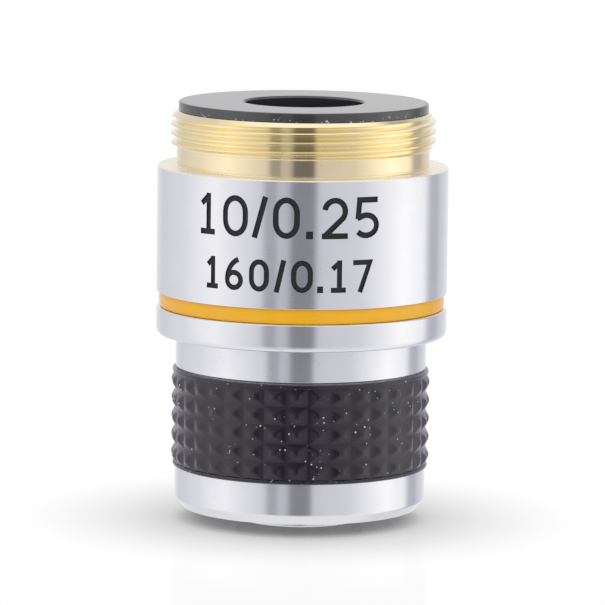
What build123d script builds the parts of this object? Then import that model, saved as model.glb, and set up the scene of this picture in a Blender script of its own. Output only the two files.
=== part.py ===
from build123d import *
import os
from dataclasses import dataclass
from math import cos, radians, sin, sqrt

# Microscope objective with two cemented doublets, in millimetres.
# Z is the optical axis, and Z = 0 is the shoulder that seats on the nosepiece of the microscope.
# The mounting thread and the light port stand above it, the barrel and the front lens hang below.

# Main barrel. Its radius carries the other radii, through walls and steps
BARREL_RADIUS = 11.10
BARREL_LENGTH = 12.92
BARREL_TOP_EDGE = 0.12
BARREL_END_CHAMFER = 0.50
BAND_RISE = 2.10
BAND_WIDTH = 1.16
BAND_THICKNESS = 0.40
BAND_RECESS = 0.22

# Mounting thread as its crest cylinder, and the neck under it
SHOULDER_WIDTH = 1.00
THREAD_LENGTH = 2.73
THREAD_DEPTH = 0.46
THREAD_LEAD = 0.42
THREAD_RUNOUT = 0.22
NECK_HEIGHT = 1.42
NECK_WALL = 1.34
NECK_RELIEF_DEPTH = 0.15
NECK_RELIEF_MARGIN = 0.15

# Seat of the lens tube inside the barrel, and the threaded socket below it
SEAT_DROP = 5.00
SEAT_LAND_HEIGHT = 3.60
SOCKET_WALL = 2.10
SPIGOT_END_GAP = 0.52

# Lower barrel, from its spigot down to its front wall
SPIGOT_LEAD = 0.25
SLEEVE_STEP = 1.515
SLEEVE_WALL = 1.835
COLLAR_LENGTH = 2.52
FRONT_BAND_LENGTH = 3.21
FRONT_CHAMFER_WIDTH = 0.585
FRONT_CHAMFER_HEIGHT = 0.74
FRONT_WALL = 1.30
EDGE_BREAK = 0.08

# Grip ring, and its seat on the lower barrel
GRIP_SEAT_DEPTH = 0.685
GRIP_TOP_GAP = 0.12
GRIP_LENGTH = 7.48
GRIP_VALLEY_RISE = 0.015
GRIP_KNURL_DEPTH = 0.32
GRIP_CREST_LAND = 0.14
GRIP_LIP_STEP = 0.10
GRIP_LIP_HEIGHT = 0.42
GRIP_LIP_CHAMFER = 0.14
GRIP_ROWS = 5
GRIP_COLUMNS = 36
GRIP_TURN = 3.6

# Rear baffle, the black disc with the light port
BAFFLE_STEP = 0.58
BAFFLE_FACE_WIDTH = 4.98
BAFFLE_RISE = 0.71
BAFFLE_EDGE = 0.10
BAFFLE_PLATE = 1.50
PORT_CHAMFER = 0.12
BAFFLE_SPIGOT_LENGTH = 2.60
BAFFLE_SPIGOT_WALL = 1.20

# Lens tube, its shims and its lock ring
TUBE_GAP = 0.80
TUBE_WALL = 0.95
TUBE_FLANGE_THICKNESS = 1.60
TUBE_LIP_THICKNESS = 0.90
TUBE_END_GAP = 0.15
SHIM_THICK = 0.30
SHIM_THIN = 0.10
LOCK_RING_HEIGHT = 1.80
LOCK_RING_WALL = 1.97
SPANNER_SLOT_WIDTH = 1.20
SPANNER_SLOT_DEPTH = 0.70

# Front cell, whose nose stands below the lower barrel
NOSE_STEP = 1.26
NOSE_WALL = 0.80
NOSE_PROUD = 0.95
NOSE_EDGE = 0.12
NOSE_LIP = 0.55
NOSE_SEAT_WIDTH = 0.80
NOSE_FLARE = 0.35
FRONT_CELL_RIM = 0.80

# Cells that drop into the lens tube
STOP_THICKNESS = 0.40
STOP_WIDTH = 2.18
SPACER_LENGTH = 6.40
SPACER_WALL = 0.65
REAR_CELL_WALL = 1.06
REAR_CELL_LIP = 0.70
REAR_SEAT_WIDTH = 0.50
REAR_CELL_RIM = 0.20
STACK_RETAINER_HEIGHT = 1.20
STACK_RETAINER_WALL = 1.15

# Clearances, all but the cement between two faces measured on the radius
SCREW_FIT = 0.03
SLIDE_FIT = 0.02
FREE_FIT = 0.08
LENS_FIT = 0.02
GRIP_FIT = 0.02
CEMENT = 0.02


@dataclass(frozen=True)
class Corner:
    """A corner of a half section. A cut of some size is its chamfer, along both sides."""

    radius: float
    height: float
    cut: float = 0.0


@dataclass(frozen=True)
class Doublet:
    """A flint disc under a crown, cemented, with the retaining ring that bears on the crown."""

    radius: float
    flint_centre: float
    crown_edge: float
    cement_curve: float
    back_curve: float
    ring_height: float
    ring_wall: float

    def flint_edge(self) -> float:
        """Thickness of the flint at its rim."""
        return self.flint_centre + sagitta(self.cement_curve, self.radius)

    def crown_edge_height(self) -> float:
        """Height of the crown's upper rim over the seat of the flint."""
        return self.flint_edge() + CEMENT + self.crown_edge

    def ring_bore(self) -> float:
        """Clear radius of the retaining ring."""
        return self.radius - self.ring_wall

    def ring_base(self) -> float:
        """Height over the seat at which the ring bears on the curved back of the crown."""
        rise = sagitta(self.back_curve, self.radius) - sagitta(self.back_curve, self.ring_bore())
        return self.crown_edge_height() + rise + LENS_FIT

    def ring_top(self) -> float:
        """Height of the retaining ring's upper face over the seat of the flint."""
        return self.ring_base() + self.ring_height


def sagitta(curve: float, radius: float) -> float:
    """Depth of a spherical face of the given curve radius at the given aperture radius."""
    return curve - sqrt(curve ** 2 - radius ** 2)


# Radii, each from the one that carries it
THREAD_RADIUS = BARREL_RADIUS - SHOULDER_WIDTH
NECK_RADIUS = THREAD_RADIUS - THREAD_DEPTH
REAR_BORE_RADIUS = NECK_RADIUS - NECK_WALL
BAFFLE_RADIUS = THREAD_RADIUS - BAFFLE_STEP
PORT_RADIUS = BAFFLE_RADIUS - BAFFLE_FACE_WIDTH
SOCKET_RADIUS = BARREL_RADIUS - SOCKET_WALL
SLEEVE_RADIUS = BARREL_RADIUS - SLEEVE_STEP
SLEEVE_BORE_RADIUS = SLEEVE_RADIUS - SLEEVE_WALL
GRIP_SEAT_RADIUS = SLEEVE_RADIUS - GRIP_SEAT_DEPTH
GRIP_VALLEY_RADIUS = SLEEVE_RADIUS + GRIP_VALLEY_RISE
GRIP_CREST_RADIUS = GRIP_VALLEY_RADIUS + GRIP_KNURL_DEPTH
GRIP_LIP_RADIUS = GRIP_CREST_RADIUS - GRIP_LIP_STEP
TUBE_RADIUS = SLEEVE_BORE_RADIUS - TUBE_GAP
TUBE_BORE_RADIUS = TUBE_RADIUS - TUBE_WALL
CELL_RADIUS = TUBE_BORE_RADIUS - SLIDE_FIT
NOSE_RADIUS = CELL_RADIUS - NOSE_STEP

FRONT_DOUBLET = Doublet(
    radius=NOSE_RADIUS - NOSE_WALL - LENS_FIT, flint_centre=0.61, crown_edge=1.20,
    cement_curve=8.20, back_curve=11.50, ring_height=0.90, ring_wall=0.60,
)
REAR_DOUBLET = Doublet(
    radius=CELL_RADIUS - REAR_CELL_WALL - LENS_FIT, flint_centre=0.59, crown_edge=1.00,
    cement_curve=10.50, back_curve=16.00, ring_height=0.80, ring_wall=0.60,
)

# Heights on the outside
THREAD_TOP = NECK_HEIGHT + THREAD_LENGTH
BARREL_END = -BARREL_LENGTH
BAND_BOTTOM = BARREL_END + BAND_RISE
BAND_TOP = BAND_BOTTOM + BAND_WIDTH
GRIP_SEAT_TOP = BARREL_END - COLLAR_LENGTH
GRIP_TOP = GRIP_SEAT_TOP - GRIP_TOP_GAP
GRIP_BOTTOM = GRIP_TOP - GRIP_LENGTH
KNURL_TOP = GRIP_TOP - GRIP_LIP_HEIGHT
SLEEVE_END = GRIP_BOTTOM - FRONT_BAND_LENGTH
NOSE_END = SLEEVE_END - NOSE_PROUD

# Heights of the seats inside, from the rear down to the front wall and back up the stack
SEAT_TOP = -SEAT_DROP
SEAT_UNDERSIDE = SEAT_TOP - SEAT_LAND_HEIGHT
SPIGOT_TOP = SEAT_UNDERSIDE - SPIGOT_END_GAP
THIN_SHIM_BASE = SEAT_TOP + SHIM_THICK
FLANGE_BASE = THIN_SHIM_BASE + SHIM_THIN
FLANGE_TOP = FLANGE_BASE + TUBE_FLANGE_THICKNESS
TUBE_END = SLEEVE_END + FRONT_WALL + TUBE_END_GAP
FRONT_CELL_SEAT = TUBE_END + TUBE_LIP_THICKNESS
FRONT_LENS_SEAT = NOSE_END + NOSE_LIP
FRONT_CELL_TOP = FRONT_LENS_SEAT + FRONT_DOUBLET.ring_top() + FRONT_CELL_RIM
SPACER_TOP = FRONT_CELL_TOP + SPACER_LENGTH
STOP_TOP = SPACER_TOP + STOP_THICKNESS
REAR_LENS_SEAT = STOP_TOP + REAR_CELL_LIP
REAR_CELL_TOP = REAR_LENS_SEAT + REAR_DOUBLET.ring_top() + REAR_CELL_RIM


def corner_points(before: Corner, corner: Corner, after: Corner) -> list[Vector]:
    """Give the point of a plain corner, or the two ends of its chamfer."""
    here = Vector(corner.radius, corner.height)
    if corner.cut == 0:
        return [here]
    to_before = (Vector(before.radius, before.height) - here).normalized()
    to_after = (Vector(after.radius, after.height) - here).normalized()
    return [here + to_before * corner.cut, here + to_after * corner.cut]


def turned(*corners: Corner) -> Part:
    """Turn a closed half section about the optical axis."""
    outline = []
    for index, corner in enumerate(corners):
        after = corners[(index + 1) % len(corners)]
        outline += corner_points(corners[index - 1], corner, after)
    with BuildPart() as part:
        with BuildSketch(Plane.XZ):
            with BuildLine():
                Polyline(*outline, close=True)
            make_face()
        revolve(axis=Axis.Z)
    return part.part


def ring(bore: float, radius: float, base: float, height: float, cut: float = 0.0) -> Part:
    """Turn a plain ring whose outer edges are broken by the given chamfer."""
    top = base + height
    return turned(
        Corner(bore, base), Corner(radius, base, cut), Corner(radius, top, cut), Corner(bore, top)
    )


def make_body_shell() -> Part:
    """Main barrel with the mounting thread, the shoulder and the seat of the lens tube."""
    relief_radius = THREAD_RADIUS + NECK_RELIEF_MARGIN
    groove_radius = BARREL_RADIUS - BAND_RECESS - BAND_THICKNESS
    seat_bore = TUBE_RADIUS + FREE_FIT
    return turned(
        Corner(REAR_BORE_RADIUS, THREAD_TOP),
        Corner(THREAD_RADIUS, THREAD_TOP, THREAD_LEAD),
        Corner(THREAD_RADIUS, NECK_HEIGHT + THREAD_RUNOUT),
        Corner(NECK_RADIUS, NECK_HEIGHT),
        Corner(NECK_RADIUS, -NECK_RELIEF_DEPTH),
        Corner(relief_radius, -NECK_RELIEF_DEPTH),
        Corner(relief_radius, 0),
        Corner(BARREL_RADIUS, 0, BARREL_TOP_EDGE),
        Corner(BARREL_RADIUS, BAND_TOP),
        Corner(groove_radius, BAND_TOP),
        Corner(groove_radius, BAND_BOTTOM),
        Corner(BARREL_RADIUS, BAND_BOTTOM),
        Corner(BARREL_RADIUS, BARREL_END, BARREL_END_CHAMFER),
        Corner(SOCKET_RADIUS, BARREL_END),
        Corner(SOCKET_RADIUS, SEAT_UNDERSIDE),
        Corner(seat_bore, SEAT_UNDERSIDE),
        Corner(seat_bore, SEAT_TOP),
        Corner(REAR_BORE_RADIUS, SEAT_TOP),
    )


def make_colour_band() -> Part:
    """Coloured ring that lies in the groove of the barrel, a little below its surface."""
    radius = BARREL_RADIUS - BAND_RECESS
    return ring(radius - BAND_THICKNESS, radius, BAND_BOTTOM, BAND_WIDTH)


def make_nose_sleeve() -> Part:
    """Lower barrel, screwed into the main one, with a front wall that the nose passes."""
    spigot_radius = SOCKET_RADIUS - SCREW_FIT
    nose_hole = NOSE_RADIUS + FREE_FIT
    front_wall_top = SLEEVE_END + FRONT_WALL
    chamfer_radius = SLEEVE_RADIUS - FRONT_CHAMFER_WIDTH
    chamfer_top = SLEEVE_END + FRONT_CHAMFER_HEIGHT
    return turned(
        Corner(SLEEVE_BORE_RADIUS, SPIGOT_TOP),
        Corner(spigot_radius, SPIGOT_TOP, SPIGOT_LEAD),
        Corner(spigot_radius, BARREL_END),
        Corner(SLEEVE_RADIUS, BARREL_END),
        Corner(SLEEVE_RADIUS, GRIP_SEAT_TOP, EDGE_BREAK),
        Corner(GRIP_SEAT_RADIUS, GRIP_SEAT_TOP),
        Corner(GRIP_SEAT_RADIUS, GRIP_BOTTOM),
        Corner(SLEEVE_RADIUS, GRIP_BOTTOM, EDGE_BREAK),
        Corner(SLEEVE_RADIUS, chamfer_top),
        Corner(chamfer_radius, SLEEVE_END),
        Corner(nose_hole, SLEEVE_END, EDGE_BREAK),
        Corner(nose_hole, front_wall_top),
        Corner(SLEEVE_BORE_RADIUS, front_wall_top),
    )


def make_grip_blank() -> Part:
    """Grip ring before its lengthwise grooves: a plain lip over rows of turned ridges."""
    bore = GRIP_SEAT_RADIUS + GRIP_FIT
    row_height = (KNURL_TOP - GRIP_BOTTOM) / GRIP_ROWS
    corners = [
        Corner(bore, GRIP_BOTTOM),
        Corner(bore, GRIP_TOP),
        Corner(GRIP_LIP_RADIUS, GRIP_TOP, GRIP_LIP_CHAMFER),
        Corner(GRIP_LIP_RADIUS, KNURL_TOP),
    ]
    for row in range(GRIP_ROWS):
        row_middle = KNURL_TOP - (row + 0.5) * row_height
        corners += [
            Corner(GRIP_VALLEY_RADIUS, row_middle + row_height / 2),
            Corner(GRIP_CREST_RADIUS, row_middle + GRIP_CREST_LAND / 2),
            Corner(GRIP_CREST_RADIUS, row_middle - GRIP_CREST_LAND / 2),
        ]
    corners.append(Corner(GRIP_VALLEY_RADIUS, GRIP_BOTTOM))
    return turned(*corners)


def make_grip_ring() -> Part:
    """Moulded grip ring: lengthwise V grooves cut the turned ridges into rows of pyramids."""
    half_step = radians(180 / GRIP_COLUMNS)
    floor = Vector(GRIP_VALLEY_RADIUS, 0)
    crest_edge = Vector(
        GRIP_CREST_RADIUS * cos(half_step),
        GRIP_CREST_RADIUS * sin(half_step) - GRIP_CREST_LAND / 2,
    )
    clear_edge = floor + (crest_edge - floor) * 2
    mirrored_edge = Vector(clear_edge.X, -clear_edge.Y)
    with BuildPart() as part:
        add(make_grip_blank())
        with BuildSketch(Plane.XY.offset(GRIP_BOTTOM)):
            with PolarLocations(0, GRIP_COLUMNS, start_angle=GRIP_TURN):
                Polygon(floor, clear_edge, mirrored_edge, align=None)
        extrude(amount=KNURL_TOP - GRIP_BOTTOM, mode=Mode.SUBTRACT)
    return part.part


def make_rear_baffle() -> Part:
    """Black disc on the end of the thread, with its spigot and the light port."""
    spigot_radius = REAR_BORE_RADIUS - SCREW_FIT
    top = THREAD_TOP + BAFFLE_RISE
    spigot_end = THREAD_TOP - BAFFLE_SPIGOT_LENGTH
    recess_radius = spigot_radius - BAFFLE_SPIGOT_WALL
    return turned(
        Corner(PORT_RADIUS, top, PORT_CHAMFER),
        Corner(BAFFLE_RADIUS, top, BAFFLE_EDGE),
        Corner(BAFFLE_RADIUS, THREAD_TOP),
        Corner(spigot_radius, THREAD_TOP),
        Corner(spigot_radius, spigot_end),
        Corner(recess_radius, spigot_end),
        Corner(recess_radius, top - BAFFLE_PLATE),
        Corner(PORT_RADIUS, top - BAFFLE_PLATE),
    )


def make_lens_tube() -> Part:
    """Inner tube, hung by its flange, with a lip in front that stops the front cell."""
    flange_radius = REAR_BORE_RADIUS - FREE_FIT
    lip_bore = NOSE_RADIUS + SLIDE_FIT
    return turned(
        Corner(TUBE_BORE_RADIUS, FLANGE_TOP),
        Corner(flange_radius, FLANGE_TOP),
        Corner(flange_radius, FLANGE_BASE),
        Corner(TUBE_RADIUS, FLANGE_BASE),
        Corner(TUBE_RADIUS, TUBE_END),
        Corner(lip_bore, TUBE_END),
        Corner(lip_bore, FRONT_CELL_SEAT),
        Corner(TUBE_BORE_RADIUS, FRONT_CELL_SEAT),
    )


def make_shim(base: float, thickness: float) -> Part:
    """Ring under the flange of the lens tube that sets the focus height."""
    return ring(TUBE_RADIUS + FREE_FIT, REAR_BORE_RADIUS - FREE_FIT, base, thickness)


def make_tube_lock_ring() -> Part:
    """Threaded ring that clamps the lens tube, with two slots for a pin spanner."""
    top = FLANGE_TOP + LOCK_RING_HEIGHT
    radius = REAR_BORE_RADIUS - SCREW_FIT
    with BuildPart() as part:
        add(ring(radius - LOCK_RING_WALL, radius, FLANGE_TOP, LOCK_RING_HEIGHT))
        with BuildSketch(Plane.XY.offset(top)):
            Rectangle(2 * REAR_BORE_RADIUS, SPANNER_SLOT_WIDTH)
        extrude(amount=-SPANNER_SLOT_DEPTH, mode=Mode.SUBTRACT)
    return part.part


def make_front_cell() -> Part:
    """Cell of the front doublet, whose nose passes the tube and stands below the barrel."""
    lens_bore = NOSE_RADIUS - NOSE_WALL
    aperture = FRONT_DOUBLET.radius - NOSE_SEAT_WIDTH
    return turned(
        Corner(lens_bore, FRONT_CELL_TOP),
        Corner(CELL_RADIUS, FRONT_CELL_TOP),
        Corner(CELL_RADIUS, FRONT_CELL_SEAT),
        Corner(NOSE_RADIUS, FRONT_CELL_SEAT),
        Corner(NOSE_RADIUS, NOSE_END, NOSE_EDGE),
        Corner(aperture + NOSE_FLARE, NOSE_END),
        Corner(aperture, FRONT_LENS_SEAT),
        Corner(lens_bore, FRONT_LENS_SEAT),
    )


def make_rear_cell() -> Part:
    """Cell of the rear doublet."""
    lens_bore = CELL_RADIUS - REAR_CELL_WALL
    aperture = REAR_DOUBLET.radius - REAR_SEAT_WIDTH
    return turned(
        Corner(lens_bore, REAR_CELL_TOP),
        Corner(CELL_RADIUS, REAR_CELL_TOP),
        Corner(CELL_RADIUS, STOP_TOP),
        Corner(aperture, STOP_TOP),
        Corner(aperture, REAR_LENS_SEAT),
        Corner(lens_bore, REAR_LENS_SEAT),
    )


def make_flint(doublet: Doublet, seat: float) -> Part:
    """Lower half of a doublet: a flat front face and a hollow back that takes the crown."""
    rim = seat + doublet.flint_edge()
    centre = rim - sagitta(doublet.cement_curve, doublet.radius)
    with BuildPart() as part:
        with BuildSketch(Plane.XZ):
            with BuildLine():
                Polyline((0, centre), (0, seat), (doublet.radius, seat), (doublet.radius, rim))
                RadiusArc((doublet.radius, rim), (0, centre), doublet.cement_curve)
            make_face()
        revolve(axis=Axis.Z)
    return part.part


def make_crown(doublet: Doublet, seat: float) -> Part:
    """Upper half of a doublet: convex on both sides, with the flint's curve on the lower one."""
    lower_rim = seat + doublet.flint_edge() + CEMENT
    upper_rim = seat + doublet.crown_edge_height()
    lower_centre = lower_rim - sagitta(doublet.cement_curve, doublet.radius)
    upper_centre = upper_rim + sagitta(doublet.back_curve, doublet.radius)
    with BuildPart() as part:
        with BuildSketch(Plane.XZ):
            with BuildLine():
                RadiusArc((0, upper_centre), (doublet.radius, upper_rim), doublet.back_curve)
                Line((doublet.radius, upper_rim), (doublet.radius, lower_rim))
                RadiusArc((doublet.radius, lower_rim), (0, lower_centre), doublet.cement_curve)
                Line((0, lower_centre), (0, upper_centre))
            make_face()
        revolve(axis=Axis.Z)
    return part.part


def make_lens_retainer(doublet: Doublet, seat: float) -> Part:
    """Threaded ring that bears on the curved back of a doublet."""
    radius = doublet.radius + LENS_FIT - SCREW_FIT
    return ring(doublet.ring_bore(), radius, seat + doublet.ring_base(), doublet.ring_height)


def make_stack_ring(wall: float, base: float, height: float) -> Part:
    """Ring that fits the bore of the lens tube, between two cells or over the last one."""
    return ring(CELL_RADIUS - wall, CELL_RADIUS, base, height)


PIECES = {
    "body_shell": make_body_shell(),
    "colour_band": make_colour_band(),
    "rear_baffle": make_rear_baffle(),
    "nose_sleeve": make_nose_sleeve(),
    "grip_ring": make_grip_ring(),
    "lens_tube": make_lens_tube(),
    "parfocal_shim_thick": make_shim(SEAT_TOP, SHIM_THICK),
    "parfocal_shim_thin": make_shim(THIN_SHIM_BASE, SHIM_THIN),
    "tube_lock_ring": make_tube_lock_ring(),
    "front_cell": make_front_cell(),
    "front_flint_lens": make_flint(FRONT_DOUBLET, FRONT_LENS_SEAT),
    "front_crown_lens": make_crown(FRONT_DOUBLET, FRONT_LENS_SEAT),
    "front_lens_retainer": make_lens_retainer(FRONT_DOUBLET, FRONT_LENS_SEAT),
    "cell_spacer": make_stack_ring(SPACER_WALL, FRONT_CELL_TOP, SPACER_LENGTH),
    "aperture_stop": make_stack_ring(STOP_WIDTH, SPACER_TOP, STOP_THICKNESS),
    "rear_cell": make_rear_cell(),
    "rear_flint_lens": make_flint(REAR_DOUBLET, REAR_LENS_SEAT),
    "rear_crown_lens": make_crown(REAR_DOUBLET, REAR_LENS_SEAT),
    "rear_lens_retainer": make_lens_retainer(REAR_DOUBLET, REAR_LENS_SEAT),
    "cell_stack_retainer": make_stack_ring(
        STACK_RETAINER_WALL, REAR_CELL_TOP, STACK_RETAINER_HEIGHT
    ),
}

os.makedirs("parts", exist_ok=True)
for name, piece in PIECES.items():
    export_step(piece, f"parts/{name}.step")
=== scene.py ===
"""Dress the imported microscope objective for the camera.

The frame is the CAD model: its nodes stay where they are, and each new piece is modelled over the
node that it stands for. Pieces are shaped in millimetres, about the optical axis Z with the shoulder
at Z = 0, and are brought to metres when they are finished.
"""

from __future__ import annotations

import logging
import math
from collections.abc import Callable, Sequence
from dataclasses import dataclass
from enum import Enum

import bmesh
import bpy
from mathutils import Matrix, Vector

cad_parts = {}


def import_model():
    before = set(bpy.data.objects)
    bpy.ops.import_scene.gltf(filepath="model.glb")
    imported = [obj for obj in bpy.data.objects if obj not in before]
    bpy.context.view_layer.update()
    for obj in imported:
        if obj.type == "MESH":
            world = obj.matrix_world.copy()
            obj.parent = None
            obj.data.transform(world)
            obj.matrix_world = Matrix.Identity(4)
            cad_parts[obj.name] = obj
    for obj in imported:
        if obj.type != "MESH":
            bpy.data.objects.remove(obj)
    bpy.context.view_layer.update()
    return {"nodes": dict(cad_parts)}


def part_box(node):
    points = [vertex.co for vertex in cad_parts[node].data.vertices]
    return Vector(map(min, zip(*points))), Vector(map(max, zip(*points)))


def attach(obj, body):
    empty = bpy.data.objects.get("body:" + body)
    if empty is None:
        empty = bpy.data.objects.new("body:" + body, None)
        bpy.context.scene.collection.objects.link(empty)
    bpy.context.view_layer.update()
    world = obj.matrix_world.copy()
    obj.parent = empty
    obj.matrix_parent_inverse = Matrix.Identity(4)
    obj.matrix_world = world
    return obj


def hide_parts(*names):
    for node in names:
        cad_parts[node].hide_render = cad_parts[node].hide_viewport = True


LOG = logging.getLogger("objective")

Piece = bpy.types.Object
Socket = bpy.types.NodeSocket
Colour = tuple[float, float, float]
Pair = tuple[float, float]
Lines = list[list[Pair]]
Inputs = dict[str, object]

MILLIMETRE = 0.001
ORIGIN = (0.0, 0.0, 0.0)
WHITE = (1.0, 1.0, 1.0)
QUARTER_TURN = 0.25
BODY = "root"
TURN_STEPS = 256
ROUND_SEGMENTS = 4

# Distances in millimetres, but the one from the axis in metres. Slopes are parts of a unit normal.
SEED_SIZE = 0.1
MERGE_DISTANCE = 1e-4
AXIS_DISTANCE = 1e-7
CREASE_ANGLE = math.radians(34)
STRIP_ANGLE = math.radians(2.5)
LEVEL_SLOPE = 0.02
BORE_SLOPE = 0.1
UPWARD_SLOPE = 0.5

# Places where pieces meet.
THREAD_END = 4.15
BARREL_END = -12.92
BAND_TOP = -9.66
BAND_BOTTOM = -10.82
BAND_FLOOR = 10.48
GRIP_BOTTOM = -23.04

# Roundings of machined edges, from a fine break to a full round.
FINE_EDGE = 0.03
CUT_EDGE = 0.04
BROKEN_EDGE = 0.05
EASED_EDGE = 0.06
SOFT_EDGE = 0.08
ROUND_EDGE = 0.12


class Slot(Enum):
    """Material slots of the record, one named with each new piece."""

    PLATED_BARREL = "plated_barrel"
    BAND_ENAMEL = "band_enamel"
    BLACK_ANODISED = "black_anodised"
    PLATED_SLEEVE = "plated_sleeve"
    GRIP_RUBBER = "grip_rubber"
    NOSE_PLATE = "nose_plate"
    FLINT_GLASS = "flint_glass"
    CROWN_GLASS = "crown_glass"


class Element(Enum):
    """Kinds of mesh element, by their name in an edited mesh."""

    VERTICES = "verts"
    EDGES = "edges"

    def set_mode(self) -> None:
        """Make Blender select this kind."""
        modes = (self is Element.VERTICES, self is Element.EDGES, False)
        bpy.context.tool_settings.mesh_select_mode = modes


@dataclass(frozen=True)
class Corner:
    """A corner of a half section, in millimetres, with the radius that its edge is rounded to."""

    radius: float
    height: float
    rounding: float = 0.0

    def place(self) -> Vector:
        """Give the corner's place in the plane that the section is drawn in."""
        return Vector((self.radius, 0.0, self.height))


def deselect_all() -> None:
    """Leave edit mode and let go of every object."""
    if bpy.context.mode != "OBJECT":
        bpy.ops.object.mode_set(mode="OBJECT")
    bpy.ops.object.select_all(action="DESELECT")


def take_up(piece: Piece) -> None:
    """Make one object the only selected and the active one.

    Args:
        piece: The object.
    """
    deselect_all()
    piece.select_set(True)
    bpy.context.view_layer.objects.active = piece


def open_mesh(piece: Piece) -> None:
    """Take an object into edit mode with nothing of it selected.

    Args:
        piece: The object.
    """
    take_up(piece)
    bpy.ops.object.mode_set(mode="EDIT")
    bpy.ops.mesh.select_all(action="DESELECT")


def close_mesh() -> None:
    """Go back from edit mode to object mode."""
    bpy.ops.object.mode_set(mode="OBJECT")


def select(piece: Piece, element: Element, test: Callable[..., bool]) -> None:
    """Select what passes a test in the mesh that is open in edit mode.

    Args:
        piece: The object in edit mode.
        element: The kind of mesh element that is tested and selected.
        test: Tells whether an element is wanted.
    """
    element.set_mode()
    bpy.ops.mesh.select_all(action="DESELECT")
    mesh = bmesh.from_edit_mesh(piece.data)
    for item in getattr(mesh, element.value):
        if test(item):
            item.select_set(True)
    mesh.select_flush_mode()
    bmesh.update_edit_mesh(piece.data)


def merge_doubles() -> None:
    """Merge the doubled vertices of the open mesh."""
    bpy.ops.mesh.select_all(action="SELECT")
    bpy.ops.mesh.remove_doubles(threshold=MERGE_DISTANCE)


def face_outwards() -> None:
    """Merge the doubles of the open mesh and turn its faces outwards."""
    merge_doubles()
    bpy.ops.mesh.normals_make_consistent(inside=False)


def draw_path(places: Sequence[Vector]) -> Piece:
    """Draw a chain of edges with the extrude tool, from a small plane merged to its first point.

    Args:
        places: The points of the chain.

    Returns:
        The object that holds the chain, in edit mode.
    """
    deselect_all()
    bpy.ops.mesh.primitive_plane_add(size=SEED_SIZE, location=tuple(places[0]))
    piece = bpy.context.object
    bpy.ops.object.transform_apply()
    bpy.ops.object.mode_set(mode="EDIT")
    Element.VERTICES.set_mode()
    bpy.ops.mesh.select_all(action="SELECT")
    bpy.ops.mesh.merge(type="CENTER")
    for before, after in zip(places, places[1:]):
        bpy.ops.mesh.extrude_region_move(TRANSFORM_OT_translate={"value": tuple(after - before)})
    return piece


def draw_section(name: str, corners: Sequence[Corner]) -> Piece:
    """Draw a closed half section and round its corners.

    Args:
        name: The piece's name.
        corners: The corners in order, the last one joined to the first.

    Returns:
        The object, in edit mode.
    """
    places = [corner.place() for corner in corners]
    section = draw_path(places + places[:1])
    section.name = section.data.name = name
    merge_doubles()
    for rounding in sorted({corner.rounding for corner in corners} - {0.0}):
        wanted = [corner.place() for corner in corners if corner.rounding == rounding]
        select(section, Element.VERTICES,
               lambda vertex: any((vertex.co - place).length < MERGE_DISTANCE for place in wanted))
        bpy.ops.mesh.bevel(offset=rounding, segments=ROUND_SEGMENTS, affect="VERTICES")
    return section


def turn(name: str, corners: Sequence[Corner]) -> Piece:
    """Turn a closed half section about the optical axis, as on a lathe.

    Args:
        name: The piece's name.
        corners: The corners of the half section in order.

    Returns:
        The turned object, in object mode.
    """
    piece = draw_section(name, corners)
    bpy.ops.mesh.select_all(action="SELECT")
    bpy.ops.mesh.spin(steps=TURN_STEPS, angle=math.tau, center=ORIGIN, axis=(0, 0, 1))
    face_outwards()
    bpy.ops.mesh.delete_loose(use_verts=True, use_edges=True, use_faces=False)
    close_mesh()
    return piece


def apply_modifier(piece: Piece, kind: str, **settings: object) -> None:
    """Add a modifier to a piece, set it and apply it.

    Args:
        piece: The object that gets it.
        kind: Blender's name for the modifier.
        settings: The modifier's properties.
    """
    take_up(piece)
    modifier = piece.modifiers.new(kind.lower(), kind)
    for key, value in settings.items():
        setattr(modifier, key, value)
    bpy.ops.object.modifier_apply(modifier=modifier.name)


def combine(piece: Piece, tool: Piece, operation: str) -> None:
    """Cut a tool from a piece, or join it on, and remove the tool.

    Args:
        piece: The object that is worked on.
        tool: The closed object that cuts or joins. Its materials pass to the new faces.
        operation: Blender's name for the boolean.
    """
    apply_modifier(piece, "BOOLEAN", object=tool, operation=operation, solver="EXACT",
                   material_mode="TRANSFER")
    bpy.data.objects.remove(tool)


def to_metres(piece: Piece) -> None:
    """Bring a piece from millimetres to metres, with its place in its mesh.

    Args:
        piece: The object.
    """
    take_up(piece)
    piece.scale = (MILLIMETRE,) * 3
    bpy.ops.object.transform_apply(location=True, rotation=True, scale=True)


def arc(centre: Pair, radii: Pair, start: float, stop: float, count: int = 14) -> list[Pair]:
    """Give points along a stretch of an ellipse.

    Args:
        centre: The ellipse's middle.
        radii: Its radii across and up.
        start: The first angle, in degrees from its right end.
        stop: The last angle.
        count: The number of steps between them.

    Returns:
        The points, both ends among them.
    """
    points = []
    for index in range(count + 1):
        angle = math.radians(start + (stop - start) * index / count)
        across = centre[0] + radii[0] * math.cos(angle)
        points.append((across, centre[1] + radii[1] * math.sin(angle)))
    return points


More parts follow.
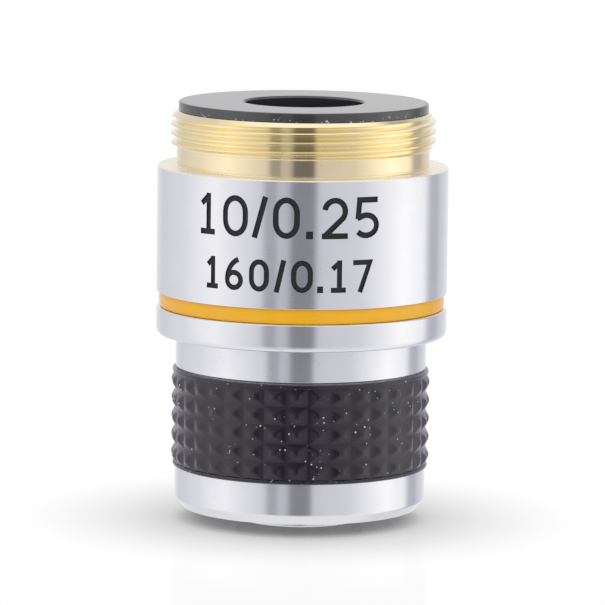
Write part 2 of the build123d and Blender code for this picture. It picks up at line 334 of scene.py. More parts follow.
@dataclass
class NodeGraph:
    """Shader nodes of one material or world, added in order and linked by socket."""

    tree: bpy.types.NodeTree

    def wire(self, node: bpy.types.Node, **inputs: object) -> None:
        """Set or link a node's inputs.

        Args:
            node: The node.
            inputs: Socket names with spaces as underscores, or in_ and an index. A socket is
                linked, a colour gets its alpha, and any other value is set as it is.
        """
        for key, value in inputs.items():
            socket = node.inputs[int(key[3:]) if key.startswith("in_") else key.replace("_", " ")]
            if isinstance(value, Socket):
                self.tree.links.new(value, socket)
            else:
                socket.default_value = (*value, 1.0) if socket.type == "RGBA" else value

    def add(self, kind: str, **inputs: object) -> bpy.types.Node:
        """Add a node, set its properties and wire its inputs.

        Args:
            kind: Blender's class name of the node, without its prefix.
            inputs: The node's properties by their own names, and its inputs as wire has them.

        Returns:
            The new node.
        """
        node = self.tree.nodes.new(f"ShaderNode{kind}")
        for key in [key for key in inputs if hasattr(node, key)]:
            setattr(node, key, inputs.pop(key))
        self.wire(node, **inputs)
        return node

    def object_place(self, across: float, along: float = 0.0) -> Socket:
        """Give Object coordinates in units of a feature's size.

        Args:
            across: The size in millimetres along X and Y.
            along: The size along Z, or nought where it is the same.

        Returns:
            The scaled coordinates.
        """
        scale = tuple(1.0 / (size * MILLIMETRE) for size in (across, across, along or across))
        place = self.add("TexCoord").outputs["Object"]
        return self.add("Mapping", Vector=place, Scale=scale).outputs["Vector"]

    def noise(self, across: float, along: float = 0.0, detail: float = 3.0) -> Socket:
        """Give a noise value for a feature's size, as object_place has it."""
        place = self.object_place(across, along)
        return self.add("TexNoise", Vector=place, Scale=1.0, Detail=detail, Roughness=0.55).outputs["Fac"]

    def cells(self, size: float) -> bpy.types.Node:
        """Give a texture of scattered cells of a size in millimetres."""
        return self.add("TexVoronoi", Vector=self.object_place(size), Scale=1.0)

    def ranged(self, value: Socket, low: float, high: float, to_low: float = 0.0,
               to_high: float = 1.0) -> Socket:
        """Map a value from one range to another, held at both ends."""
        return self.add("MapRange", Value=value, From_Min=low, From_Max=high, To_Min=to_low,
                        To_Max=to_high).outputs["Result"]

    def uneven(self, noise: Socket, low: float, high: float) -> Socket:
        """Spread the middle of a noise's range from a low value to a high one."""
        return self.ranged(noise, 0.3, 0.7, low, high)

    def math(self, operation: str, first: object, second: object = 0.0) -> Socket:
        """Give the result of a calculation on two values."""
        return self.add("Math", operation=operation, in_0=first, in_1=second).outputs[0]

    def blend(self, factor: object, first: object, second: object) -> Socket:
        """Mix two colours, each a tuple or a socket."""
        return self.add("Mix", data_type="RGBA", in_0=factor, in_6=first, in_7=second).outputs[2]

    def mix(self, factor: object, first: Socket, second: Socket) -> Socket:
        """Mix two shaders."""
        return self.add("MixShader", in_0=factor, in_1=first, in_2=second).outputs[0]

    def bump(self, height: Socket, strength: float, depth: float) -> Socket:
        """Turn a height into a bumped normal, with the depth in millimetres."""
        distance = depth * MILLIMETRE
        return self.add("Bump", Height=height, Strength=strength, Distance=distance).outputs["Normal"]


@dataclass(frozen=True)
class Finish:
    """A procedural material, made once and shared by the pieces that have it.

    Its name differs from the record's material slots, because the frame brings a material for each.
    """

    name: str

    def material(self) -> bpy.types.Material:
        """Give the material, and make it the first time.

        Returns:
            The material of this finish.
        """
        known = bpy.data.materials.get(self.name)
        if known:
            return known
        material = bpy.data.materials.new(self.name)
        material.use_nodes = True
        graph = NodeGraph(material.node_tree)
        graph.wire(material.node_tree.nodes["Principled BSDF"], **self.surface(graph))
        return material

    def surface(self, graph: NodeGraph) -> Inputs:
        """Add this finish's textures to its material.

        Args:
            graph: The material's nodes.

        Returns:
            What goes into the surface shader, as NodeGraph.wire has it.
        """
        raise NotImplementedError


@dataclass(frozen=True)
class TurnedMetal(Finish):
    """Bright turned metal: fine lines round the axis, faint stains, and a few nicks."""

    colour: Colour
    stain: Colour
    nick: Colour
    roughness: Pair = (0.12, 0.19)
    anisotropy: float = 0.55
    nick_share: float = 0.5
    line_tone: float = 0.0
    metallic: float = 1.0
    line_length: float = 9.0
    line_pitch: float = 0.05
    line_depth: float = 0.002
    line_range: Pair = (0.40, 0.62)
    cloud_size: float = 3.2
    cloud_range: Pair = (0.35, 0.75)
    nick_size: float = 0.42
    nick_range: Pair = (0.16, 0.08)
    nick_roughness: float = 0.3
    patch_size: float = 2.4
    patch_range: Pair = (0.56, 0.66)

    def surface(self, graph: NodeGraph) -> Inputs:
        """Give the metal its turned lines, stains and nicks.

        Args:
            graph: The material's nodes.

        Returns:
            What goes into the surface shader.
        """
        lines = graph.noise(self.line_length, self.line_pitch)
        clouds = graph.noise(self.cloud_size, detail=4.0)
        specks = graph.cells(self.nick_size).outputs["Distance"]
        patches = graph.ranged(graph.noise(self.patch_size), *self.patch_range)
        nicks = graph.math("MULTIPLY", graph.ranged(specks, *self.nick_range), patches)
        lined = graph.ranged(lines, *self.line_range, to_high=self.line_tone)
        stains = graph.math("MAXIMUM", graph.ranged(clouds, *self.cloud_range), lined)
        stained = graph.blend(stains, self.colour, self.stain)
        nicked = graph.math("MULTIPLY", nicks, self.nick_share)
        return {
            "Base_Color": graph.blend(nicked, stained, self.nick),
            "Metallic": self.metallic,
            "Roughness": graph.math("ADD", graph.uneven(lines, *self.roughness),
                                    graph.math("MULTIPLY", nicks, self.nick_roughness)),
            "Anisotropic": self.anisotropy,
            "Anisotropic_Rotation": QUARTER_TURN,
            "Tangent": graph.add("Tangent", direction_type="RADIAL", axis="Z").outputs[0],
            "Normal": graph.bump(lines, strength=0.25, depth=self.line_depth),
        }


@dataclass(frozen=True)
class BlackAnodised(Finish):
    """Black anodised aluminium, satin, with bright chips along the rim that the thread meets."""

    colour: Colour = (0.033, 0.031, 0.035)
    chip: Colour = (0.90, 0.88, 0.84)
    rim_height: float = THREAD_END
    rim_radius: float = 9.30
    chip_reach: float = 0.42
    chip_size: float = 0.34
    chip_range: Pair = (0.64, 0.69)
    grain_size: float = 0.06
    grain_depth: float = 0.002

    def surface(self, graph: NodeGraph) -> Inputs:
        """Give the black its grain and its chipped rim.

        Args:
            graph: The material's nodes.

        Returns:
            What goes into the surface shader.
        """
        place = graph.add("TexCoord").outputs["Object"]
        height = graph.add("SeparateXYZ", Vector=place).outputs["Z"]
        off_rim = graph.math("ABSOLUTE", graph.math("SUBTRACT", height, self.rim_height * MILLIMETRE))
        near_rim = graph.ranged(off_rim, self.chip_reach * MILLIMETRE, 0.0)
        flat_place = graph.add("Mapping", Vector=place, Scale=(1.0, 1.0, 0.0)).outputs["Vector"]
        radius = graph.add("VectorMath", operation="LENGTH", in_0=flat_place).outputs["Value"]
        outside = graph.math("GREATER_THAN", radius, self.rim_radius * MILLIMETRE)
        chips = graph.ranged(graph.noise(self.chip_size, detail=2.0), *self.chip_range)
        bare = graph.math("MULTIPLY", graph.math("MULTIPLY", near_rim, outside), chips)
        grain = graph.noise(self.grain_size, detail=2.0)
        return {
            "Base_Color": graph.blend(bare, self.colour, self.chip),
            "IOR": 1.80,
            "Roughness": graph.uneven(grain, 0.12, 0.20),
            "Normal": graph.bump(grain, strength=0.15, depth=self.grain_depth),
        }


@dataclass(frozen=True)
class BandEnamel(Finish):
    """Yellow enamel run into a groove, with the gloss and faint waviness of a brushed coat."""

    colour: Colour = (0.98, 0.50, 0.003)
    deep: Colour = (0.95, 0.455, 0.002)
    wave_length: float = 1.6
    wave_width: float = 0.5
    wave_depth: float = 0.02
    wave_range: Pair = (0.3, 0.8)

    def surface(self, graph: NodeGraph) -> Inputs:
        """Give the enamel its waves and its gloss.

        Args:
            graph: The material's nodes.

        Returns:
            What goes into the surface shader.
        """
        waves = graph.noise(self.wave_length, self.wave_width)
        return {
            "Base_Color": graph.blend(graph.ranged(waves, *self.wave_range), self.colour, self.deep),
            "Roughness": graph.uneven(waves, 0.16, 0.24),
            "Specular_IOR_Level": 0.6,
            "Normal": graph.bump(waves, strength=0.3, depth=self.wave_depth),
        }


@dataclass(frozen=True)
class PaintFill(Finish):
    """Black paint wiped into the engraved numbers."""

    colour: Colour = (0.024, 0.024, 0.032)
    clotted: Colour = (0.034, 0.034, 0.040)
    clot_size: float = 0.2
    clot_depth: float = 0.02
    clot_range: Pair = (0.4, 0.8)

    def surface(self, graph: NodeGraph) -> Inputs:
        """Give the paint its uneven gloss.

        Args:
            graph: The material's nodes.

        Returns:
            What goes into the surface shader.
        """
        clots = graph.noise(self.clot_size)
        return {
            "Base_Color": graph.blend(graph.ranged(clots, *self.clot_range), self.colour, self.clotted),
            "Roughness": graph.uneven(clots, 0.45, 0.65),
            "Specular_IOR_Level": 0.25,
            "Normal": graph.bump(clots, strength=0.4, depth=self.clot_depth),
        }


@dataclass(frozen=True)
class GripRubber(Finish):
    """Black moulded rubber, a little shiny on its crests, with dust caught in the knurl."""

    colour: Colour = (0.005, 0.002, 0.009)
    worn: Colour = (0.009, 0.005, 0.015)
    dust: Colour = (0.66, 0.66, 0.66)
    bloom: Colour = (0.92, 0.82, 1.0)
    skin_size: float = 0.10
    skin_depth: float = 0.008
    tone_size: float = 2.0
    tone_range: Pair = (0.35, 0.7)
    speck_size: float = 0.44
    speck_range: Pair = (0.20, 0.15)
    speck_spread: float = 0.12
    drift_size: float = 1.5
    drift_range: Pair = (0.50, 0.58)

    def surface(self, graph: NodeGraph) -> Inputs:
        """Give the rubber its skin and its dust.

        Args:
            graph: The material's nodes.

        Returns:
            What goes into the surface shader.
        """
        skin = graph.noise(self.skin_size, detail=4.0)
        tone = graph.noise(self.tone_size)
        specks = graph.cells(self.speck_size)
        smaller = graph.math("MULTIPLY", specks.outputs["Color"], self.speck_spread)
        spread = graph.math("ADD", specks.outputs["Distance"], smaller)
        settled = graph.ranged(graph.noise(self.drift_size), *self.drift_range)
        dusty = graph.math("MULTIPLY", graph.ranged(spread, *self.speck_range), settled)
        rubber = graph.blend(graph.ranged(tone, *self.tone_range), self.colour, self.worn)
        return {
            "Base_Color": graph.blend(dusty, rubber, self.dust),
            "Roughness": graph.uneven(skin, 0.18, 0.28),
            "IOR": 1.60,
            "Sheen_Weight": 0.8,
            "Sheen_Roughness": 0.30,
            "Sheen_Tint": self.bloom,
            "Normal": graph.bump(skin, strength=0.2, depth=self.skin_depth),
        }


@dataclass(frozen=True)
class CoatedGlass(Finish):
    """Optical glass with a thin blue-green antireflection coating."""

    index: float
    tint: Colour = (0.96, 0.985, 0.98)
    cast: Colour = (0.93, 0.975, 0.985)
    film_size: float = 4.0
    film_range: Pair = (0.3, 0.8)
    film_thickness: float = 110.0
    film_index: float = 1.38

    def surface(self, graph: NodeGraph) -> Inputs:
        """Give the glass its index, and the coating its cast.

        Args:
            graph: The material's nodes.

        Returns:
            What goes into the surface shader.
        """
        film = graph.noise(self.film_size)
        return {
            "Base_Color": graph.blend(film, self.tint, self.cast),
            "Roughness": graph.ranged(film, *self.film_range, to_high=0.02),
            "IOR": self.index,
            "Transmission_Weight": 1.0,
            "Thin_Film_Thickness": self.film_thickness,
            "Thin_Film_IOR": self.film_index,
        }


@dataclass(frozen=True)
class BlackenedBrass(Finish):
    """Chemically blackened brass of the inner parts, dull, with brown where it is rubbed."""

    colour: Colour = (0.020, 0.018, 0.017)
    rubbed: Colour = (0.075, 0.052, 0.030)
    mottle_size: float = 0.8
    mottle_range: Pair = (0.5, 0.8)
    line_length: float = 8.0
    line_pitch: float = 0.09
    line_depth: float = 0.01

    def surface(self, graph: NodeGraph) -> Inputs:
        """Give the blackening its mottle and its turned lines.

        Args:
            graph: The material's nodes.

        Returns:
            What goes into the surface shader.
        """
        mottle = graph.noise(self.mottle_size, detail=4.0)
        lines = graph.noise(self.line_length, self.line_pitch)
        return {
            "Base_Color": graph.blend(graph.ranged(mottle, *self.mottle_range), self.colour, self.rubbed),
            "Metallic": 0.35,
            "Roughness": graph.uneven(lines, 0.45, 0.62),
            "Normal": graph.bump(lines, strength=0.3, depth=self.line_depth),
        }


SATIN_PLATE = TurnedMetal("satin_plate", (0.86, 0.86, 0.90), (0.82, 0.82, 0.865), (0.62, 0.60, 0.58),
                          metallic=0.87)
BRIGHT_BRASS = TurnedMetal("bright_brass", (1.0, 0.87, 0.60), (0.97, 0.80, 0.50), (0.40, 0.31, 0.22),
                           roughness=(0.07, 0.12), line_tone=0.6, anisotropy=0.2, nick_share=0.8)
THREAD_BRASS = TurnedMetal("thread_brass", (1.0, 0.91, 0.66), (0.98, 0.86, 0.56), (0.42, 0.33, 0.24),
                           roughness=(0.07, 0.12), line_tone=0.6, anisotropy=0.2, nick_share=0.8)
# Bare brass of the faced shoulder, painted paler cream and less metallic as a highlight from above.
SHOULDER_FACE_AND_HIGHLIGHT = TurnedMetal("shoulder_face_and_highlight", (0.96, 0.91, 0.80), (0.93, 0.86, 0.73), (0.45, 0.36, 0.28),
                            roughness=(0.26, 0.36), line_tone=0.5, metallic=0.6, nick_share=0.8)
NOSE_METAL = TurnedMetal("nose_nickel", (0.86, 0.86, 0.88), (0.80, 0.79, 0.78), (0.50, 0.48, 0.45),
                         roughness=(0.16, 0.24), metallic=0.75)
SHIM_BRASS = TurnedMetal("shim_brass", (0.86, 0.66, 0.36), (0.78, 0.57, 0.28), (0.42, 0.33, 0.22),
                         roughness=(0.22, 0.34))
BLACK_DISC = BlackAnodised("disc_anodising")
YELLOW_BAND = BandEnamel("yellow_enamel")
NUMBER_PAINT = PaintFill("number_paint")
KNURL_RUBBER = GripRubber("knurl_rubber")
FLINT_GLASS = CoatedGlass("coated_flint", 1.62)
CROWN_GLASS = CoatedGlass("coated_crown", 1.52)
BLACKENED = BlackenedBrass("brass_blackening")

NODE_FINISHES: dict[Finish, tuple[str, ...]] = {
    BLACKENED: ("lens_tube", "tube_lock_ring", "front_lens_retainer", "rear_lens_retainer",
                "cell_spacer", "aperture_stop", "rear_cell", "cell_stack_retainer"),
    SHIM_BRASS: ("parfocal_shim_thick", "parfocal_shim_thin"),
    CROWN_GLASS: ("front_crown_lens",),
    FLINT_GLASS: ("rear_flint_lens",),
}


def coat(piece: Piece, *finishes: Finish) -> None:
    """Give a piece its material slots.

    Args:
        piece: The object.
        finishes: The finishes of its slots, in order.
    """
    piece.data.materials.clear()
    for finish in finishes:
        piece.data.materials.append(finish.material())


def line_bores(piece: Piece, finish: Finish, reach: float) -> None:
    """Lay a finish on the faces that look at the axis from near it.

    Args:
        piece: The object, in millimetres.
        finish: One of its finishes.
        reach: The radius within which the faces lie.
    """
    slot = piece.data.materials.find(finish.name)
    for face in piece.data.polygons:
        radius = face.center.xy.length
        inward = -face.center.xy.dot(face.normal.xy)
        if inward > BORE_SLOPE * radius and radius < reach:
            face.material_index = slot


def about_axis(vector: Vector, angle: float) -> Vector:
    """Turn a vector about the optical axis."""
    return Matrix.Rotation(angle, 3, "Z") @ vector


def azimuth_of(vector: Vector) -> float:
    """Give a vector's angle about the optical axis."""
    return math.atan2(vector.y, vector.x)


def strip_azimuth(face: bpy.types.MeshPolygon) -> float:
    """Give the azimuth of the middle of the turned strip that a face is cut from.

    Args:
        face: A face of a turned piece.

    Returns:
        The azimuth of its normal, or of the opposite direction in a bore, and else of its centre.
    """
    centre = azimuth_of(face.center)
    if math.hypot(face.normal.x, face.normal.y) < LEVEL_SLOPE:
        return centre
    outward = azimuth_of(face.normal)
    for candidate in (outward, outward + math.pi):
        if abs(math.remainder(candidate - centre, math.tau)) < STRIP_ANGLE:
            return candidate
    return centre


def shade_turned(piece: Piece, *flat: Finish) -> None:
    """Give a turned piece the shading of a true surface of revolution.

    Args:
        piece: The finished object.
        flat: Finishes whose faces keep their flat normals.
    """
    take_up(piece)
    bpy.ops.object.shade_smooth()
    mesh = piece.data
    flat_slots = [mesh.materials.find(finish.name) for finish in flat]
    on_section: dict[int, list[tuple[Vector, float]]] = {}
    section_normals = []
    for face in mesh.polygons:
        normal = about_axis(face.normal, -strip_azimuth(face))
        section_normals.append(normal)
        if face.material_index in flat_slots:
            continue
        for index in face.vertices:
            on_section.setdefault(index, []).append((normal, face.area))
    limit = math.cos(CREASE_ANGLE)
    loop_normals = [Vector((0.0, 0.0, 1.0))] * len(mesh.loops)
    for face, normal in zip(mesh.polygons, section_normals):
        for loop, index in zip(face.loop_indices, face.vertices):
            place = mesh.vertices[index].co
            if face.material_index in flat_slots or math.hypot(place.x, place.y) < AXIS_DISTANCE:
                loop_normals[loop] = face.normal.copy()
                continue
            smooth = Vector()
            for other, area in on_section[index]:
                if other.dot(normal) > limit:
                    smooth += other * area
            loop_normals[loop] = about_axis(smooth.normalized(), azimuth_of(place))
    mesh.normals_split_custom_set(loop_normals)


@dataclass
class SubAssembly:
    """A piece that is modelled in millimetres and stands for one CAD node."""

    name: str
    node: str
    slot: Slot
    finishes: tuple[Finish, ...]

    def build(self) -> None:
        """Model and shade the piece, and fix it to the frame in its node's place."""
        piece = self.model()
        to_metres(piece)
        self.shade(piece)
        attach(piece, BODY)
        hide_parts(self.node)
        LOG.info("%s stands for %s with %d faces", piece.name, self.node, len(piece.data.polygons))

    def section(self) -> list[Corner]:
        """Give the half section that the piece is turned from."""
        raise NotImplementedError

    def model(self) -> Piece:
        """Turn the piece and give it its finishes.

        Returns:
            The piece, in millimetres.
        """
        piece = turn(self.name, self.section())
        coat(piece, *self.finishes)
        return piece

    def shade(self, piece: Piece) -> None:
        """Shade the finished piece as a turned one."""
        shade_turned(piece)


@dataclass(frozen=True)
class Stroke:
    """One line of a number: its points, as arc length and height on the barrel, and its width."""

    points: tuple[Pair, ...]
    width: float


@dataclass(frozen=True)
class Letterform:
    """A numeral's box, with the numeral's lines as points from its lower left corner.

    The factors are shares of the box, or of half the width of a line.
    """

    span: float
    height: float
    half: float
    bowl_rise: float = 0.315

    def point(self) -> Lines:
        """Lay out the decimal point, which is as wide as its box."""
        return [[(self.span / 2, 0.0), (self.span / 2, self.span * 1.1)]]

    def slash(self) -> Lines:
        """Lay out the slash between two numbers."""
        return [[(self.half * 0.9, 0.0), (self.span - self.half * 0.9, self.height)]]

    def seven(self) -> Lines:
        """Lay out the seven in one line."""
        bar = self.height - self.half
        return [[(0.0, bar), (self.span - self.half, bar), (self.span * 0.36, 0.0)]]

    def nought(self) -> Lines:
        """Lay out the nought, with nearly straight sides.

        Returns:
            Its lines.
        """
        radius = (self.span - 2 * self.half) / 2
        tall = radius * 1.25
        upper = arc((self.span / 2, self.height - self.half - tall), (radius, tall), 0, 180, count=12)
        lower = arc((self.span / 2, self.half + tall), (radius, tall), 180, 360, count=12)
        return [upper + lower + upper[:1]]

    def one(self) -> Lines:
        """Lay out the one, with its flag and its foot.

        Returns:
            Its lines.
        """
        stem = self.span * 0.56
        flag_tip = (self.half * 0.55, self.height * 0.735)
        return [
            [(stem, self.height), (stem, self.half)],
            [(0.0, self.half), (self.span, self.half)],
            [flag_tip, (stem - self.half * 0.2, self.height - self.half * 1.1)],
        ]

    def two(self) -> Lines:
        """Lay out the two: an arched top, a diagonal and a flat base.

        Returns:
            Its lines.
        """
        radius = self.span / 2 - self.half
        tall = radius * 1.05
        top = arc((self.span / 2, self.height - self.half - tall), (radius, tall), 172, -38)
        return [top + [(self.half * 1.1, self.half * 1.1)], [(0.0, self.half), (self.span, self.half)]]

    def five(self) -> Lines:
        """Lay out the five: a bar, a stem and an open bowl.

        Returns:
            Its lines.
        """
        rise = self.height * self.bowl_rise
        bar = self.height - self.half
        radii = (self.span * 0.54 - self.half, rise - self.half)
        bowl = arc((self.span * 0.46, rise), radii, 128, -142)
        return [
            [(self.half * 0.7, bar), (self.span * 0.93, bar)],
            [(self.half * 1.75, self.height - self.half * 0.2), (self.half * 1.15, self.height * 0.47)],
            [(self.half * 0.9, self.height * 0.49)] + bowl,
        ]

    def six(self) -> Lines:
        """Lay out the six: a closed bowl under a curved stem.

        Returns:
            Its lines.
        """
        rise = self.height * self.bowl_rise
        reach = self.span * 0.98
        middle = self.span / 2
        bowl = arc((middle, rise), (middle - self.half, rise - self.half), 180, -180, count=20)
        stem = arc((reach, rise), (reach - self.half, self.height * 0.985 - rise), 180, 106)
        return [bowl, stem]


@dataclass(frozen=True)
class Glyph:
    """A numeral on the barrel, between two arc lengths from the front line."""

    shape: str
    left: float
    right: float

    def strokes(self, base: float, height: float, width: float) -> list[Stroke]:
        """Lay out the numeral's lines on the barrel.

        Args:
            base: The height at which the numeral stands.
            height: The numeral's own height.
            width: The width of its lines.

        Returns:
            The lines.
        """
        form = Letterform(self.right - self.left, height, width / 2)
        drawings = {
            "0": form.nought, "1": form.one, "2": form.two, "5": form.five, "6": form.six,
            "7": form.seven, "/": form.slash, ".": form.point,
        }
        broad = form.span if self.shape == "." else width
        return [Stroke(tuple((self.left + across, base + up) for across, up in line), broad)
                for line in drawings[self.shape]()]


@dataclass(frozen=True)
class NumberRow:
    """A row of engraved numbers on the barrel."""

    glyphs: tuple[Glyph, ...]
    base: float
    height: float
    line_width: float

    def strokes(self) -> list[Stroke]:
        """Give the lines of all the row's glyphs."""
        return [stroke for glyph in self.glyphs
                for stroke in glyph.strokes(self.base, self.height, self.line_width)]


@dataclass
class Barrel(SubAssembly):
    """The main barrel: mounting thread, brass neck and shoulder, plated shell, engraved numbers."""

    radius: float = 11.10
    end: float = BARREL_END
    rim_inset: float = 0.33
    rim_height: float = 0.50
    edge: float = 0.18
    groove_edge: float = 0.05
    groove_sill: float = 0.16
    band_top: float = BAND_TOP
    band_bottom: float = BAND_BOTTOM
    groove_radius: float = BAND_FLOOR
    thread_radius: float = 10.10
    thread_top: float = THREAD_END
    thread_start: float = 1.64
    thread_lead: float = 0.50
    thread_pitch: float = 0.7056
    thread_root: float = 9.65
    thread_phase: float = 1.0056
    thread_turns: int = 5
    thread_steps: int = 192
    flank_angle: float = 27.5
    root_half: float = 0.05
    crest_cut: float = 0.05
    crest_slope: float = 1.15
    crest_rise: float = 0.005
    tool_rise: float = 0.09
    tool_flare: float = 0.01
    neck_radius: float = 9.64
    neck_top: float = 1.42
    neck_foot: float = 0.08
    bore: float = 8.30
    seat_bore: float = 7.03
    seat_top: float = -5.00
    seat_underside: float = -8.60
    socket: float = 9.00
    engraving_depth: float = 0.12
    cutter_rise: float = 0.16
    rows: tuple[NumberRow, ...] = (
        NumberRow(
            (Glyph("1", -8.36, -6.98), Glyph("0", -6.25, -4.15), Glyph("/", -3.83, -2.59),
             Glyph("0", -2.21, -0.19), Glyph(".", 0.28, 0.80), Glyph("2", 1.45, 3.44),
             Glyph("5", 3.99, 5.99)),
            base=-4.35, height=3.10, line_width=0.43,
        ),
        NumberRow(
            (Glyph("1", -7.70, -6.65), Glyph("6", -6.02, -4.50), Glyph("0", -4.02, -2.46),
             Glyph("/", -2.08, -1.18), Glyph("0", -0.80, 0.83), Glyph(".", 1.15, 1.60),
             Glyph("1", 2.19, 3.34), Glyph("7", 3.89, 5.45)),
            base=-8.38, height=2.43, line_width=0.39,
        ),
    )

    def model(self) -> Piece:
        """Turn the barrel, lay its finishes, engrave it and cut its thread.

        Returns:
            The barrel, in millimetres.
        """
        barrel = super().model()
        self.lay_brass(barrel)
        line_bores(barrel, BLACKENED, self.neck_radius)
        combine(barrel, self.number_cutter(), "DIFFERENCE")
        combine(barrel, self.thread_cutter(), "DIFFERENCE")
        open_mesh(barrel)
        merge_doubles()
        close_mesh()
        return barrel

    def shade(self, piece: Piece) -> None:
        """Shade the barrel as turned, with the faces of the engraving flat."""
        shade_turned(piece, NUMBER_PAINT)

    def section(self) -> list[Corner]:
        """Give the half section, with the thread as a plain rod.

        Returns:
            The corners in order.
        """
        lead = self.thread_lead
        rim = arc((self.radius - self.rim_inset, self.end + self.rim_height),
                  (self.rim_inset, self.rim_height), 0, -90, count=10)
        return [
            Corner(self.bore, self.thread_top, BROKEN_EDGE),
            Corner(self.thread_radius - lead, self.thread_top, CUT_EDGE),
            Corner(self.thread_radius, self.thread_top - lead, SOFT_EDGE),
            Corner(self.thread_radius, self.thread_start, EASED_EDGE),
            Corner(self.neck_radius, self.neck_top, ROUND_EDGE),
            Corner(self.neck_radius, 0.0, self.neck_foot),
            Corner(self.radius, 0.0, self.edge),
            Corner(self.radius, self.band_top, self.groove_edge),
            Corner(self.groove_radius, self.band_top),
            Corner(self.groove_radius, self.band_bottom),
            Corner(self.radius, self.band_bottom, self.groove_sill),
            *(Corner(*place) for place in rim),
            Corner(self.socket, self.end, BROKEN_EDGE),
            Corner(self.socket, self.seat_underside),
            Corner(self.seat_bore, self.seat_underside, BROKEN_EDGE),
            Corner(self.seat_bore, self.seat_top, BROKEN_EDGE),
            Corner(self.bore, self.seat_top),
        ]

    def lay_brass(self, barrel: Piece) -> None:
        """Lay brass on the thread and the neck, and on the shoulder's upward faces a paler cream brass
        that is partly painted highlight.

        Args:
            barrel: The turned barrel, in millimetres.
        """
        brass = barrel.data.materials.find(BRIGHT_BRASS.name)
        shoulder = barrel.data.materials.find(SHOULDER_FACE_AND_HIGHLIGHT.name)
        for face in barrel.data.polygons:
            if face.center.z > MERGE_DISTANCE:
                face.material_index = brass
            # Painted highlight: faces that look up at the shoulder, the upper half of the barrel's
            # rounded edge among them, get the paler cream brass.
            elif face.center.z > -self.edge and face.normal.z > UPWARD_SLOPE:
                face.material_index = shoulder

    def thread_cutter(self) -> Piece:
        """Wind the groove of the mounting thread, a right-hand 55 degree V.

        Returns:
            The closed helical tool.
        """
        slope = math.tan(math.radians(self.flank_angle))
        flank_end = self.thread_radius - self.crest_cut
        flank_half = self.root_half + (flank_end - self.thread_root) * slope
        crest_half = flank_half + self.crest_cut * self.crest_slope
        profile = [
            (self.thread_root, self.root_half),
            (flank_end, flank_half),
            (self.thread_radius + self.crest_rise, crest_half),
            (self.thread_radius + self.tool_rise, crest_half + self.tool_flare),
        ]
        upper = [Corner(radius, self.thread_phase + half) for radius, half in profile]
        lower = [Corner(radius, self.thread_phase - half) for radius, half in reversed(profile)]
        cutter = draw_section("thread_cutter", upper + lower)
        close_mesh()
        coat(cutter, THREAD_BRASS)
        apply_modifier(cutter, "SCREW", axis="Z", angle=math.tau, screw_offset=self.thread_pitch,
                       iterations=self.thread_turns, steps=self.thread_steps,
                       render_steps=self.thread_steps, use_merge_vertices=False)
        open_mesh(cutter)
        bpy.ops.mesh.select_all(action="SELECT")
        bpy.ops.mesh.fill_holes(sides=0)
        face_outwards()
        close_mesh()
        return cutter

    def number_cutter(self) -> Piece:
        """Make the tool that engraves the numbers, from a ribbon for each of their lines.

        Returns:
            The closed tool, which stands through the barrel's surface.
        """
        ribbons = [self.ribbon(stroke) for row in self.rows for stroke in row.strokes()]
        cutter = ribbons[0]
        for ribbon in ribbons[1:]:
            combine(cutter, ribbon, "UNION")
        return cutter

    def ribbon(self, stroke: Stroke) -> Piece:
        """Stand a ribbon on one line of the numbers and give it the line's width.

        Args:
            stroke: The line.

        Returns:
            The closed ribbon.
        """
        ribbon = draw_path([self.on_floor(across, up) for across, up in stroke.points])
        merge_doubles()
        bpy.ops.mesh.extrude_region_move()
        rise = (self.radius + self.cutter_rise) / (self.radius - self.engraving_depth)
        bpy.ops.transform.resize(value=(rise, rise, 1.0), center_override=ORIGIN)
        face_outwards()
        close_mesh()
        coat(ribbon, NUMBER_PAINT)
        apply_modifier(ribbon, "SOLIDIFY", thickness=stroke.width, offset=0.0, use_even_offset=True)
        open_mesh(ribbon)
        face_outwards()
        close_mesh()
        return ribbon

    def on_floor(self, across: float, up: float) -> Vector:
        """Give the place of a point of the numbers on the floor of the engraving.

        Args:
            across: The point's arc length on the barrel from the front line.
            up: The point's height.

        Returns:
            The place, in millimetres.
        """
        angle = across / self.radius
        depth = self.radius - self.engraving_depth
        return Vector((depth * math.sin(angle), -depth * math.cos(angle), up))


@dataclass
class ColourBand(SubAssembly):
    """The yellow ring in the barrel's groove, crowned a little."""

    floor_radius: float = BAND_FLOOR
    edge_radius: float = 10.80
    crown: float = 0.10
    top: float = BAND_TOP
    bottom: float = BAND_BOTTOM
    gap: float = 0.02

    def section(self) -> list[Corner]:
        """Give the half section, a little lower than the groove.

        Returns:
            The corners in order.
        """
        top = self.top - self.gap
        bottom = self.bottom + self.gap
        crest = arc((self.edge_radius, (top + bottom) / 2), (self.crown, (top - bottom) / 2), -90, 90,
                    count=16)
        return [
            Corner(self.floor_radius, bottom),
            *(Corner(*place) for place in crest),
            Corner(self.floor_radius, top),
        ]


@dataclass
class RearDisc(SubAssembly):
    """The black disc with the light port that closes the thread's end."""

    port: float = 4.54
    radius: float = 9.52
    top: float = 4.86
    base: float = THREAD_END
    spigot: float = 8.27
    spigot_end: float = 1.55
    recess: float = 7.07
    plate: float = 1.50
    port_chamfer: float = 0.14
    edge: float = 0.13

    def section(self) -> list[Corner]:
        """Give the half section, with the recess behind the plate.

        Returns:
            The corners in order.
        """
        ceiling = self.top - self.plate
        return [
            Corner(self.port, self.top - self.port_chamfer, FINE_EDGE),
            Corner(self.port + self.port_chamfer, self.top, FINE_EDGE),
            Corner(self.radius, self.top, self.edge),
            Corner(self.radius, self.base, BROKEN_EDGE),
            Corner(self.spigot, self.base),
            Corner(self.spigot, self.spigot_end, SOFT_EDGE),
            Corner(self.recess, self.spigot_end, SOFT_EDGE),
            Corner(self.recess, ceiling),
            Corner(self.port, ceiling, BROKEN_EDGE),
        ]


